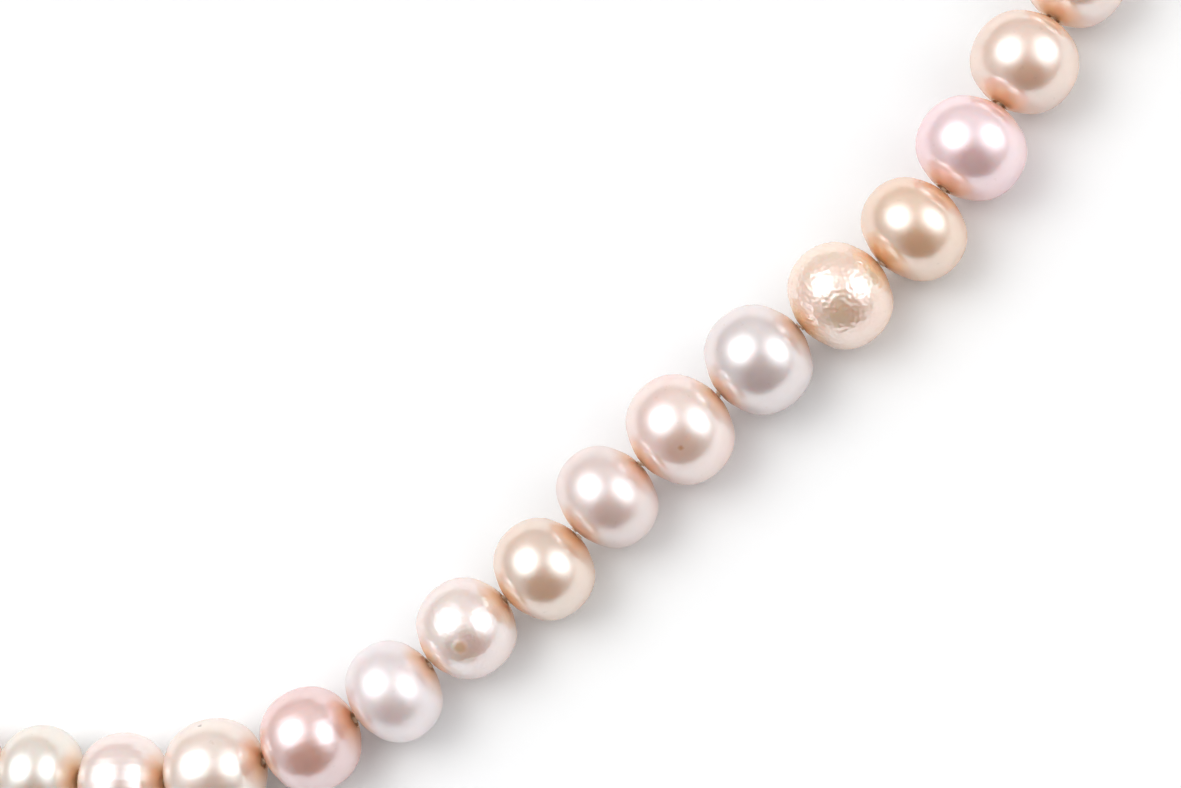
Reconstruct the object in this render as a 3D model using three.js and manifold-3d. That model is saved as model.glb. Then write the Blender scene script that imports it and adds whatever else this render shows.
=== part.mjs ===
// A single-strand pearl necklace, laid open in a wide U with its clasp undone.
// Millimetres, +Z up. Every pearl stands on Z = 0; the origin is under the middle of the whole lay.
import * as THREE from "three";
import { mergeVertices } from "three/addons/utils/BufferGeometryUtils.js";
import Module from "manifold-3d";

const wasm = await Module();
wasm.setup();

const DEG = Math.PI / 180;

// ---- Driving dimensions ----

// The graded run of near-round pearls: width across the drill hole, length along it.
// The run repeats along the strand, counted from the middle pearl.
const PEARL_RUN = [
  [7.7, 6.5],
  [7.5, 6.9],
  [8.1, 7.9],
  [8.0, 7.5],
  [7.9, 6.8],
  [7.7, 7.3],
  [7.9, 7.1],
  [8.1, 6.9],
  [8.5, 7.6],
  [8.4, 7.7],
  [8.3, 7.4],
  [8.3, 7.0],
  [8.4, 7.5],
  [8.2, 7.5],
  [7.8, 7.7],
];
const ARM_PEARLS = 25; // on each side of the middle pearl
const PEARL_GAP = 0.15; // slack of the stringing between two pearls
const DRILL_RADIUS = 0.5;
const THREAD_RADIUS = 0.25;

// Direction of each step from pearl to pearl, outwards from the middle, in degrees from
// the +X axis on the right arm and from the -X axis on the left arm.
const RIGHT_STEPS = [
  -6, 4, 16, 28, 39, 35, 47, 40, 40, 36, 40, 53, 57, 58, 62, 66, 71, 75, 78, 82, 85, 88, 90, 92, 93,
];
const LEFT_STEPS = [
  4, 10, 18, 26, 32, 38, 42, 46, 44, 48, 50, 49, 52, 55, 58, 60, 64, 67, 71, 75, 79, 83, 86, 89, 91,
];

// Bead tip: a hollow ball over the end knot, with a wire loop on its far side.
const TIP_RADIUS = 1.6;
const TIP_WALL = 0.3;
const TIP_MOUTH_RADIUS = 0.45;
const TIP_DROOP = 18 * DEG; // the ends hang down from the last pearl to the table
const TIP_SLACK = 0.45; // thread showing between the last pearl and the tip
const LOOP_RADIUS = 1.15; // to the middle of the wire
const LOOP_WIRE = 0.28;
const KNOT_RADIUS = 0.75;

// Rings: the jump ring that carries the clasp, and the closed ring that it catches.
const JUMP_RING_RADIUS = 2.2;
const END_RING_RADIUS = 2.4;
const RING_WIRE = 0.3;
const RING_LEAN = 65 * DEG; // from the table
const RING_SPLIT = 0.12; // saw cut in the jump ring
const TABLE_CLEARANCE = 0.02;

// Lobster clasp, in its own frame: X from the tail eye to the hook, Z through its thickness.
const CLASP_THICKNESS = 2.4;
const CLASP_EDGE = 0.35; // rounded edge
const TAIL_RADIUS = 2.0;
const TAIL_HOLE_RADIUS = 1.25;
const TAIL_THICKNESS = 0.8;
const CLAW_CENTRE = new THREE.Vector2(6.4, 0);
const CLAW_OUTER = new THREE.Vector2(4.4, 3.0);
const CLAW_INNER_CENTRE = new THREE.Vector2(6.7, 0);
const CLAW_INNER = new THREE.Vector2(2.9, 1.85);
const EYE_SETBACK = 0.15; // the eye hangs back a little on the jump ring
const NECK_WIDTH = 1.9;
const GATE_START = 4.3; // the lever fills the claw's +Y side between these two
const GATE_END = 8.7;
const GATE_GAP = 0.15;
const PIVOT = new THREE.Vector2(3.3, 1.2);
const PIN_RADIUS = 0.35;
const PIN_CLEARANCE = 0.08;
const SLOT_HALF = 0.62; // slot in the body that holds the lever's root
const LEVER_HALF = 0.5;
const LEVER_ROOT_RADIUS = 0.85;
const LEVER_ARM_WIDTH = 0.85;
const LEVER_INSET = 0.1; // its outer edge lies this far inside the claw's
const GATE_SILL = 0.6; // the claw is cut away from here outwards, to make room for the lever
const SLOT_FLOOR = -0.4;
const SLOT_BACK_GAP = 0.2; // behind the lever's root
const SLOT_LEAD = 0.4; // the slot runs on past the start of the gate
const CUT_MARGIN = 1; // cutters run this far past the outline
const TAB_ROOT_HALF = 0.72; // half widths and heights of the thumb tab, from the pivot
const TAB_TIP_HALF = 0.45;
const TAB_ROOT_HEIGHT = 0.3;
const TAB_SHOULDER_HEIGHT = 1.9;
const TAB_CROWN_HEIGHT = 2.3;
const PIN_RECESS = 0.05; // the pin's ends lie just under the body's faces
const SPRING_LEAF = 0.14;
const SPRING_HEIGHT = 0.52;
const SPRING_GAP = 0.1; // to the lever's root and to the sides of the slot
const SPRING_BACK = 0.8; // behind the pivot
const SPRING_FRONT = 0.7; // in front of it
const SPRING_BEND = 0.3;

// Facets of the round pieces.
const PEARL_SPANS = 6; // from one drill mouth to the other
const PEARL_SIDES = 12;
const TIP_SPANS = 5; // from the mouth to the far pole
const TIP_SIDES = 10;
const WIRE_SIDES = 6;
const LOOP_SPANS = 12;
const RING_SPANS = 16;
const PIN_SIDES = 12;
const EYE_SIDES = 16;
const CLAW_SEGMENTS = 9; // to half a turn
const LEVER_SEGMENTS = 5;
const TAB_SEGMENTS = 4;
const THREAD_SEGMENTS = 3; // to half a turn

// ---- Materials ----

const NACRE_TONES = {
  cream: 0xe9ddcb,
  pink: 0xecd2cc,
  peach: 0xeccbb0,
  mauve: 0xdcc0c0,
  silver: 0xe0dcd6,
};
const TONE_RUN = [
  "cream", "pink", "cream", "mauve", "pink", "mauve", "cream", "mauve",
  "pink", "silver", "peach", "peach", "pink", "cream", "peach",
];

function nacre(tone) {
  return new THREE.MeshStandardMaterial({ color: NACRE_TONES[tone], roughness: 0.25, metalness: 0.1 });
}

function silver() {
  return new THREE.MeshStandardMaterial({ color: 0xd8d8d6, roughness: 0.2, metalness: 1 });
}

function springSteel() {
  return new THREE.MeshStandardMaterial({ color: 0xa9abad, roughness: 0.35, metalness: 1 });
}

function silk() {
  return new THREE.MeshStandardMaterial({ color: 0xf1ece3, roughness: 0.8, metalness: 0 });
}

// ---- Solid modelling helpers ----

function solid(geometry, position = [0, 0, 0]) {
  const bare = geometry.clone();
  bare.deleteAttribute("normal");
  bare.deleteAttribute("uv");
  const welded = mergeVertices(bare, 1e-4);
  welded.translate(...position);
  const vertProperties = new Float32Array(welded.attributes.position.array);
  const triVerts = new Uint32Array(welded.index.array);
  return new wasm.Manifold(new wasm.Mesh({ numProp: 3, vertProperties, triVerts }));
}

function geometryOf(manifold) {
  const mesh = manifold.getMesh();
  const geometry = new THREE.BufferGeometry();
  geometry.setAttribute("position", new THREE.BufferAttribute(new Float32Array(mesh.vertProperties), 3));
  geometry.setIndex(new THREE.BufferAttribute(new Uint32Array(mesh.triVerts), 1));
  geometry.computeVertexNormals();
  return geometry;
}

function plate(shape, thickness, bevel, curveSegments) {
  const geometry = new THREE.ExtrudeGeometry(shape, {
    depth: thickness - 2 * bevel,
    bevelEnabled: bevel > 0,
    bevelThickness: bevel,
    bevelSize: bevel,
    bevelOffset: -bevel,
    bevelSegments: 1,
    curveSegments,
  });
  geometry.translate(0, 0, -(thickness - 2 * bevel) / 2);
  return geometry;
}

function cylinder(radius, height, sides) {
  const geometry = new THREE.CylinderGeometry(radius, radius, height, sides);
  geometry.rotateX(Math.PI / 2);
  return geometry;
}

// A block between two corners in the XY plane, centred on it.
function block(low, high, thickness) {
  const box = new THREE.BoxGeometry(high.x - low.x, high.y - low.y, thickness);
  return solid(box, [(low.x + high.x) / 2, (low.y + high.y) / 2, 0]);
}

function ellipseShape(centre, radii) {
  const shape = new THREE.Shape();
  shape.absellipse(centre.x, centre.y, radii.x, radii.y, 0, 2 * Math.PI, false, 0);
  return shape;
}

function named(name, geometry, material) {
  const mesh = new THREE.Mesh(geometry, material);
  mesh.name = name;
  return mesh;
}

// ---- The lay: where each pearl's centre is and which way its drill hole runs ----

function pearlSize(offset) {
  const count = PEARL_RUN.length;
  const [width, length] = PEARL_RUN[((offset % count) + count) % count];
  return { width, length, tone: TONE_RUN[((offset % count) + count) % count] };
}

function layArm(side, steps) {
  const arm = [];
  let previous = { ...pearlSize(0), x: 0, y: 0 };
  steps.forEach((step, index) => {
    const size = pearlSize(side * (index + 1));
    const pitch = (previous.length + size.length) / 2 + PEARL_GAP;
    const x = previous.x + side * pitch * Math.cos(step * DEG);
    const y = previous.y + pitch * Math.sin(step * DEG);
    previous = { ...size, x, y };
    arm.push(previous);
  });
  return arm;
}

function layStrand() {
  const middle = { ...pearlSize(0), x: 0, y: 0 };
  const left = layArm(-1, LEFT_STEPS.slice(0, ARM_PEARLS)).reverse();
  const right = layArm(1, RIGHT_STEPS.slice(0, ARM_PEARLS));
  const strand = [...left, middle, ...right];
  strand.forEach((pearl, index) => {
    const before = strand[Math.max(index - 1, 0)];
    const after = strand[Math.min(index + 1, strand.length - 1)];
    const inward = Math.atan2(pearl.y - before.y, pearl.x - before.x);
    const outward = Math.atan2(after.y - pearl.y, after.x - pearl.x);
    pearl.heading = outward;
    if (index === strand.length - 1) pearl.heading = inward;
    if (index > 0 && index < strand.length - 1) pearl.heading = (inward + outward) / 2;
    pearl.number = String(index + 1).padStart(2, "0");
  });
  return strand;
}

// ---- Pearls ----

function pearlGeometry(width, length) {
  const across = width / 2;
  const along = length / 2;
  const mouth = Math.acos(DRILL_RADIUS / across);
  const profile = [];
  for (let span = 0; span <= PEARL_SPANS; span += 1) {
    const angle = mouth * ((2 * span) / PEARL_SPANS - 1);
    profile.push(new THREE.Vector2(across * Math.cos(angle), along * Math.sin(angle)));
  }
  profile.push(profile[0].clone());
  return new THREE.LatheGeometry(profile, PEARL_SIDES);
}

function pearlMesh(pearl) {
  const mesh = named(`pearl_${pearl.number}`, pearlGeometry(pearl.width, pearl.length), nacre(pearl.tone));
  mesh.position.set(pearl.x, pearl.y, pearl.width / 2);
  mesh.rotation.z = pearl.heading - Math.PI / 2;
  return mesh;
}

// ---- End fittings: a group at each end pearl, X outwards along the strand, Z up from the table ----

function endGroup(pearl, direction) {
  const group = new THREE.Group();
  group.position.set(pearl.x, pearl.y, 0);
  group.rotation.z = direction;
  return group;
}

// Distances along the strand and heights above the table, for one end.
function endPlaces(pearl, ringRadius) {
  const reach = TIP_SLACK + TIP_RADIUS;
  const tip = new THREE.Vector3(
    pearl.length / 2 + reach * Math.cos(TIP_DROOP),
    0,
    pearl.width / 2 - reach * Math.sin(TIP_DROOP),
  );
  const loopReach = TIP_RADIUS + LOOP_RADIUS;
  const loop = new THREE.Vector3(
    tip.x + loopReach * Math.cos(TIP_DROOP),
    0,
    tip.z - loopReach * Math.sin(TIP_DROOP),
  );
  const ringHeight = ringRadius * Math.sin(RING_LEAN) + RING_WIRE + TABLE_CLEARANCE;
  const ring = new THREE.Vector3(
    loop.x + ringReach(ringRadius, ringHeight, loop.z),
    (ringHeight - loop.z) / Math.tan(RING_LEAN),
    ringHeight,
  );
  return { tip, ring };
}

// Where the clasp's tail eye goes, so that the leaning ring's wire passes through its middle.
function claspPlace(ring) {
  const height = CLASP_THICKNESS / 2;
  const reach = ringReach(JUMP_RING_RADIUS, ring.z, height) - EYE_SETBACK;
  return new THREE.Vector3(ring.x + reach, ring.y - (ring.z - height) / Math.tan(RING_LEAN), height);
}

// How far along the strand a leaning ring's wire is from its centre, at a given height.
function ringReach(radius, centreHeight, height) {
  const rise = (centreHeight - height) / Math.sin(RING_LEAN);
  return Math.sqrt(radius * radius - rise * rise);
}

function beadTipGeometry() {
  const inside = TIP_RADIUS - TIP_WALL;
  const profile = [];
  const innerMouth = Math.asin(TIP_MOUTH_RADIUS / inside);
  const outerMouth = Math.asin(TIP_MOUTH_RADIUS / TIP_RADIUS);
  for (let step = 0; step <= TIP_SPANS; step += 1) {
    const angle = Math.PI + (innerMouth - Math.PI) * (step / TIP_SPANS);
    profile.push(new THREE.Vector2(inside * Math.sin(angle), -inside * Math.cos(angle)));
  }
  for (let step = 0; step <= TIP_SPANS; step += 1) {
    const angle = outerMouth + (Math.PI - outerMouth) * (step / TIP_SPANS);
    profile.push(new THREE.Vector2(TIP_RADIUS * Math.sin(angle), -TIP_RADIUS * Math.cos(angle)));
  }
  profile[0].x = 0;
  profile[profile.length - 1].x = 0;
  const cup = solid(new THREE.LatheGeometry(profile, TIP_SIDES));
  const wire = new THREE.TorusGeometry(LOOP_RADIUS, LOOP_WIRE, WIRE_SIDES, LOOP_SPANS);
  const loop = solid(wire, [0, TIP_RADIUS + LOOP_RADIUS, 0]);
  return geometryOf(cup.add(loop));
}

function beadTip(name, places) {
  const mesh = named(name, beadTipGeometry(), silver());
  mesh.position.copy(places.tip);
  mesh.rotation.set(0, TIP_DROOP, -Math.PI / 2, "YXZ");
  return mesh;
}

function ringMesh(name, radius, place, split) {
  const torus = solid(new THREE.TorusGeometry(radius, RING_WIRE, WIRE_SIDES, RING_SPANS));
  const cut = new THREE.BoxGeometry(RING_SPLIT, 4 * RING_WIRE, 4 * RING_WIRE);
  const ring = split ? torus.subtract(solid(cut, [0, radius, 0])) : torus;
  const mesh = named(name, geometryOf(ring), silver());
  mesh.position.copy(place);
  mesh.rotation.x = RING_LEAN;
  return mesh;
}

// ---- Lobster clasp ----

function claspBodyGeometry() {
  const clawShape = ellipseShape(CLAW_CENTRE, CLAW_OUTER);
  clawShape.holes.push(ellipseShape(CLAW_INNER_CENTRE, CLAW_INNER));
  const claw = solid(plate(clawShape, CLASP_THICKNESS, CLASP_EDGE, CLAW_SEGMENTS));
  const neckLength = CLAW_CENTRE.x - CLAW_OUTER.x + CLASP_EDGE;
  const neck = new THREE.BoxGeometry(neckLength, NECK_WIDTH, TAIL_THICKNESS);
  const tail = solid(cylinder(TAIL_RADIUS, TAIL_THICKNESS, EYE_SIDES));
  const joined = claw.add(solid(neck, [neckLength / 2 + TAIL_HOLE_RADIUS, 0, 0])).add(tail);
  const eye = solid(cylinder(TAIL_HOLE_RADIUS, CLASP_THICKNESS, EYE_SIDES));
  const past = CLAW_OUTER.y + CUT_MARGIN;
  const gate = block({ x: GATE_START, y: GATE_SILL }, { x: GATE_END, y: past }, 2 * CLASP_THICKNESS);
  const slotStart = PIVOT.x - LEVER_ROOT_RADIUS - SLOT_BACK_GAP;
  const slot = block({ x: slotStart, y: SLOT_FLOOR }, { x: GATE_START + SLOT_LEAD, y: past }, 2 * SLOT_HALF);
  return geometryOf(joined.subtract(eye).subtract(gate).subtract(slot).subtract(pinHole()));
}

function pinHole() {
  return solid(cylinder(PIN_RADIUS + PIN_CLEARANCE, 2 * CLASP_THICKNESS, PIN_SIDES), [PIVOT.x, PIVOT.y, 0]);
}

// The lever's arm follows the claw's outline, inset so that its outer edge carries on the curve.
function leverOutline() {
  const outer = new THREE.Vector2(CLAW_OUTER.x - LEVER_INSET, CLAW_OUTER.y - LEVER_INSET);
  const inner = new THREE.Vector2(outer.x - LEVER_ARM_WIDTH, outer.y - LEVER_ARM_WIDTH);
  const start = Math.acos((GATE_END - GATE_GAP - CLAW_CENTRE.x) / outer.x);
  const innerStart = Math.acos((GATE_END - GATE_GAP - CLAW_CENTRE.x) / inner.x);
  const end = Math.acos((PIVOT.x - CLAW_CENTRE.x) / outer.x);
  const innerEnd = Math.acos((PIVOT.x - CLAW_CENTRE.x) / inner.x);
  const shape = new THREE.Shape();
  shape.absellipse(CLAW_CENTRE.x, CLAW_CENTRE.y, outer.x, outer.y, start, end, false, 0);
  shape.absellipse(CLAW_CENTRE.x, CLAW_CENTRE.y, inner.x, inner.y, innerEnd, innerStart, true, 0);
  shape.closePath();
  return shape;
}

function thumbTabOutline() {
  const shoulder = PIVOT.y + TAB_SHOULDER_HEIGHT;
  const crown = PIVOT.y + TAB_CROWN_HEIGHT;
  const shape = new THREE.Shape();
  shape.moveTo(PIVOT.x - TAB_ROOT_HALF, PIVOT.y + TAB_ROOT_HEIGHT);
  shape.lineTo(PIVOT.x - TAB_TIP_HALF, shoulder);
  shape.quadraticCurveTo(PIVOT.x, crown, PIVOT.x + TAB_TIP_HALF, shoulder);
  shape.lineTo(PIVOT.x + TAB_ROOT_HALF, PIVOT.y + TAB_ROOT_HEIGHT);
  shape.closePath();
  return shape;
}

function claspLeverGeometry() {
  const thickness = 2 * LEVER_HALF;
  const arm = solid(plate(leverOutline(), thickness, 0, LEVER_SEGMENTS));
  const root = solid(cylinder(LEVER_ROOT_RADIUS, thickness, PIN_SIDES), [PIVOT.x, PIVOT.y, 0]);
  const tab = solid(plate(thumbTabOutline(), thickness, 0, TAB_SEGMENTS));
  return geometryOf(arm.add(root).add(tab).subtract(pinHole()));
}

function claspPinGeometry() {
  const geometry = cylinder(PIN_RADIUS, CLASP_THICKNESS - 2 * PIN_RECESS, PIN_SIDES);
  geometry.translate(PIVOT.x, PIVOT.y, 0);
  return geometry;
}

// A hairpin leaf that lies between the floor of the slot and the lever's root.
function claspSpringGeometry() {
  const high = PIVOT.y - LEVER_ROOT_RADIUS - SPRING_GAP;
  const low = high - SPRING_HEIGHT;
  const back = PIVOT.x - SPRING_BACK;
  const front = PIVOT.x + SPRING_FRONT;
  const shape = new THREE.Shape();
  shape.moveTo(front, low);
  shape.lineTo(front, low + SPRING_LEAF);
  shape.lineTo(back + SPRING_BEND, low + SPRING_LEAF);
  shape.lineTo(back + SPRING_BEND, high - SPRING_LEAF);
  shape.lineTo(front - SPRING_BEND, high - SPRING_LEAF);
  shape.lineTo(front - SPRING_BEND, high);
  shape.lineTo(back, high);
  shape.lineTo(back, low);
  shape.closePath();
  return plate(shape, 2 * (LEVER_HALF - SPRING_GAP), 0, 1);
}

function claspMeshes(place) {
  const pieces = [
    named("clasp_body", claspBodyGeometry(), silver()),
    named("clasp_lever", claspLeverGeometry(), silver()),
    named("clasp_pivot_pin", claspPinGeometry(), springSteel()),
    named("clasp_spring", claspSpringGeometry(), springSteel()),
  ];
  pieces.forEach((piece) => piece.position.copy(place));
  return pieces;
}

// ---- Thread: straight through each pearl, bending only between them, knotted in both bead tips ----

class StationCurve extends THREE.Curve {
  constructor(stations) {
    super();
    this.stations = stations;
  }

  getPoint(t, target = new THREE.Vector3()) {
    const place = t * (this.stations.length - 1);
    const index = Math.min(Math.floor(place), this.stations.length - 2);
    return target.lerpVectors(this.stations[index], this.stations[index + 1], place - index);
  }

  getUtoTmapping(u) {
    return u;
  }
}

function threadStations(strand, leftTip, rightTip) {
  const stations = [leftTip];
  strand.forEach((pearl) => {
    const mouth = (pearl.length / 2) * Math.sqrt(1 - ((2 * DRILL_RADIUS) / pearl.width) ** 2);
    const run = new THREE.Vector3(Math.cos(pearl.heading), Math.sin(pearl.heading), 0).multiplyScalar(mouth);
    const centre = new THREE.Vector3(pearl.x, pearl.y, pearl.width / 2);
    stations.push(centre.clone().sub(run), centre.clone().add(run));
  });
  stations.push(rightTip);
  return stations;
}

function threadGeometry(stations) {
  const section = new THREE.Shape();
  section.absarc(0, 0, THREAD_RADIUS, 0, 2 * Math.PI, false);
  const tube = new THREE.ExtrudeGeometry(section, {
    steps: stations.length - 1,
    extrudePath: new StationCurve(stations),
    bevelEnabled: false,
    curveSegments: THREAD_SEGMENTS,
  });
  const knot = new THREE.IcosahedronGeometry(KNOT_RADIUS, 1);
  const ends = [stations[0], stations[stations.length - 1]];
  const knots = ends.map((end) => solid(knot, end.toArray()));
  return geometryOf(solid(tube).add(knots[0]).add(knots[1]));
}

// ---- Assembly ----

const necklace = new THREE.Group();
const strand = layStrand();
strand.forEach((pearl) => necklace.add(pearlMesh(pearl)));

const firstPearl = strand[0];
const leftEnd = endGroup(firstPearl, firstPearl.heading + Math.PI);
const leftPlaces = endPlaces(firstPearl, JUMP_RING_RADIUS);
leftEnd.add(beadTip("bead_tip_left", leftPlaces));
leftEnd.add(ringMesh("jump_ring", JUMP_RING_RADIUS, leftPlaces.ring, true));
leftEnd.add(...claspMeshes(claspPlace(leftPlaces.ring)));
necklace.add(leftEnd);

const lastPearl = strand[strand.length - 1];
const rightEnd = endGroup(lastPearl, lastPearl.heading);
const rightPlaces = endPlaces(lastPearl, END_RING_RADIUS);
rightEnd.add(beadTip("bead_tip_right", rightPlaces));
rightEnd.add(ringMesh("end_ring", END_RING_RADIUS, rightPlaces.ring, false));
necklace.add(rightEnd);

necklace.updateMatrixWorld(true);
const leftTip = leftEnd.localToWorld(leftPlaces.tip.clone());
const rightTip = rightEnd.localToWorld(rightPlaces.tip.clone());
necklace.add(named("silk_thread", threadGeometry(threadStations(strand, leftTip, rightTip)), silk()));

const extent = new THREE.Box3().setFromObject(necklace, true);
const centre = extent.getCenter(new THREE.Vector3());
necklace.position.set(-centre.x, -centre.y, 0);
necklace.updateMatrixWorld(true);

export default necklace;
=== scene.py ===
import math

import bmesh
import bpy
import numpy as np
from mathutils import Matrix, Vector


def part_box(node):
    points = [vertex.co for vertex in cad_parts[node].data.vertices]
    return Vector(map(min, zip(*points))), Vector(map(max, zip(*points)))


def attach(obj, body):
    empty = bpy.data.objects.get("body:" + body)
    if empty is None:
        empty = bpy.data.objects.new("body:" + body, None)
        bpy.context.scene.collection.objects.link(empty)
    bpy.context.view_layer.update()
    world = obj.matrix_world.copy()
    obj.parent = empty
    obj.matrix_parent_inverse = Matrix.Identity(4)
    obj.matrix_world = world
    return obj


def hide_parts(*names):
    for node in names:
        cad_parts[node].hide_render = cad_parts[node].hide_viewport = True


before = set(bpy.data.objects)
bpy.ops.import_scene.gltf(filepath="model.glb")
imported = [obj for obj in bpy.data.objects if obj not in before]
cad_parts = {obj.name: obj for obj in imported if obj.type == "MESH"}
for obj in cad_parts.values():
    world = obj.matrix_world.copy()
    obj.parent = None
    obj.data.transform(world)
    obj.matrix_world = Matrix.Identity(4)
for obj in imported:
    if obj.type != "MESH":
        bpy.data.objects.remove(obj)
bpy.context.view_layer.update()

MM = 0.001
FULL_TURN = 2 * math.pi
UP = Vector((0, 0, 1))

# A strand of drilled pearls laid open on a table, with its silk, bead tips, rings and clasp.
# Lengths are in metres, apart from the end fittings, which are made in millimetres.

# ---- The strand: its pearls' places and sizes come from the frame ----

PEARL_COUNT = 51
MIDDLE = 26  # the run of pearls is counted from this one
DRILL_RADIUS = 0.5 * MM
PEARL_FULLNESS = 2.15  # of the outline: 2 is an ellipse, more has fuller shoulders
SHOULDER_RANGE = (0.4, 0.75)  # from the first share of the half width to the second, it grows fuller
MOUTH_FILLET = 0.1 * MM
MOUTH_KNEE = (0.35, 0.15)  # of the fillet: how far its middle is out from the bore and in from the skin
BORE_SETBACK = 0.9  # of the fillet: how far the straight bore starts below the skin
BORE_RINGS = 8

THREAD_RADIUS = 0.25 * MM
THREAD_OVERLAP = 0.09 * MM  # each pearl carries its thread this far out of the drill hole
THREAD_PLIES = 3
THREAD_SIDES = 18
THREAD_STEP = 0.12 * MM
THREAD_LEAST_ROWS = 6
TWIST_PITCH = 1.1 * MM
PLY_VALLEY = 0.72  # of the thread's radius
PLY_SWELL = 0.26

# ---- Camera: nearly overhead, leaning towards the lower right of the picture ----

CAMERA_ELEVATION = math.radians(70)
CAMERA_HEADING = math.radians(-45)  # the side of the object that the camera stands on
CAMERA_DISTANCE = 226 * MM
CAMERA_LENS = 91.4
CAMERA_NEAREST = 10 * MM
AIM_FROM_MIDDLE = Vector((43.5, 27.4, 0)) * MM

# ---- Lights: two large softboxes, each bright in the middle and fading outwards ----
# Each softbox is (name, direction, watts) and a stack of discs (diameter, share of the watts).

LIGHT_DISTANCE = 3.4
SOFTBOXES = [("overhead", (-0.44, 0.14, 0.89), 76.0), ("side", (0.79, 0.14, 0.59), 58.0)]
SOFTBOX_LAYERS = [(1.9, 0.13), (2.7, 0.20), (3.6, 0.23), (4.6, 0.22), (5.7, 0.22)]
LAYER_SPACING = 0.1
TENT_COLOUR = (0.94, 0.975, 1.0, 1.0)
TENT_LEVELS = (0.48, 0.72)  # at the horizon and high up
TENT_RISE = 0.6  # how high the direction rises, as a sine, when the tent is at its brightest
TENT_OPENING = (0.13, -0.80, 0.59)
TENT_OPENING_EDGE = (0.55, 0.92)  # cosines of the angle to it where the opening starts and is whole
TENT_OPENING_LEVEL = 0.12
FLOOR_REACH = 6
FLOOR_COLOUR = (0.915, 0.91, 0.905, 1.0)

# ---- Looks of the pearls ----

# Blemishes: where they are from the pearl's centre (along the drill hole, across it, up),
# their radius in millimetres and how far they stand up from the skin.
DARK_SPOT = dict(towards=(0.04, 0.79, 0.61), radius=0.2, height=-0.03, colour=(0.16, 0.09, 0.05))
SCAR = dict(towards=(-0.20, -0.48, 0.85), radius=0.75, height=0.06, colour=(0.98, 0.58, 0.36))
SCRATCH = dict(towards=(-0.19, -0.53, 0.83), radius=0.26, height=-0.02, colour=(0.75, 0.38, 0.20))
BLEMISH_CORE = 0.35  # of the blemish's radius: the middle with the full depth and colour

# The roughness of the reflections.
GLOSSY = 0.225
SATIN = 0.3
SOFT = 0.36


def nacre_look(slot, body, tint, lustre=GLOSSY, bands=0.0, crackle=0.0, spot=None):
    """How a pearl looks: its body colour, the tint and the roughness of its reflections, how
    strong its growth bands and its wrinkles are, and its blemish."""
    return dict(slot=slot, body=body, tint=tint, lustre=lustre, bands=bands, crackle=crackle, spot=spot)


# The run of 15 different pearls, which repeats along the strand.
RUN = [
    nacre_look("nacre_cream", (0.82, 0.64, 0.53), (0.84, 0.97, 0.98)),
    nacre_look("nacre_pink", (0.90, 0.65, 0.57), (0.88, 0.94, 0.97), bands=1.0),
    nacre_look("nacre_cream", (0.88, 0.63, 0.52), (0.88, 0.97, 0.98), bands=0.3, spot=DARK_SPOT),
    nacre_look("nacre_mauve", (0.82, 0.46, 0.36), (0.88, 0.92, 1.00), bands=0.4),
    nacre_look("nacre_pink", (0.84, 0.66, 0.63), (0.88, 0.95, 1.00), lustre=SOFT),
    nacre_look("nacre_mauve", (0.94, 0.67, 0.57), (0.86, 0.94, 1.00), crackle=0.3, spot=SCAR),
    nacre_look("nacre_cream", (0.77, 0.49, 0.33), (0.92, 0.99, 0.99)),
    nacre_look("nacre_mauve", (0.81, 0.57, 0.49), (0.88, 0.95, 0.99), lustre=SATIN),
    nacre_look("nacre_pink", (1.00, 0.62, 0.50), (0.88, 0.94, 1.00), spot=SCRATCH),
    nacre_look("nacre_silver", (0.72, 0.58, 0.55), (0.92, 0.95, 0.97)),
    nacre_look("nacre_peach", (1.00, 0.63, 0.44), (0.95, 0.94, 0.97), crackle=1.0),
    nacre_look("nacre_peach", (0.80, 0.48, 0.28), (0.90, 0.95, 0.94)),
    nacre_look("nacre_pink", (1.00, 0.61, 0.59), (0.96, 0.93, 1.00)),
    nacre_look("nacre_cream", (0.85, 0.53, 0.37), (0.88, 0.97, 0.98)),
    nacre_look("nacre_peach", (0.91, 0.60, 0.48), (0.88, 0.95, 0.98)),
]

# The relief of the skin: each is a random field with a depth as a share of the pearl's radius.
SWELLS = dict(depth=0.014, waves=5, frequency=2.2)
DIMPLES = dict(depth=0.002, waves=12, frequency=9.0)
WRINKLES = dict(depth=0.009, waves=60, frequency=58.0)
WAVE_STRETCH = (0.6, 1.4)  # each wave has its own share of the frequency
FIELD_SPREAD = 2.2  # how far the waves swing together before they are cut off
BAND_DEPTH = 0.0035
BAND_FREQUENCY = 40
BAND_DRIFT = dict(depth=3, waves=4, frequency=3.0)  # in radians of the bands' wave
RELIEF_FADE = 1.6 * MM  # the relief grows to its full depth over this distance from the bore
FIRST_SEED = 1000

# Rings along the pearl and points round it.
WRINKLED_MESH = (140, 220)
MARKED_MESH = (100, 160)
PLAIN_MESH = (56, 80)

# Painted bounce light: colour and reflection tint warm towards the drill mouths, as if lit by neighbouring
# pearls.
MOUTH_STAIN_WIDTH = 0.35 * MM
MOUTH_STAIN = (0.86, 0.50, 0.28)
PAINTED_BOUNCE_RANGE = (0.8 * MM, 3.0 * MM)
PAINTED_BOUNCE_BODY = (1.0, 0.84, 0.68)
PAINTED_BOUNCE_TINT = (1.0, 0.88, 0.72)

# ---- Nodes ----


def new_material(name):
    material = bpy.data.materials.new(name)
    material.use_nodes = True
    tree = material.node_tree
    shader = tree.nodes["Principled BSDF"]
    return material, tree, shader


def set_inputs(shader, values):
    for name, value in values.items():
        shader.inputs[name].default_value = value


def add_node(tree, kind, **settings):
    node = tree.nodes.new(kind)
    for key, value in settings.items():
        setattr(node, key, value)
    return node


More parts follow.
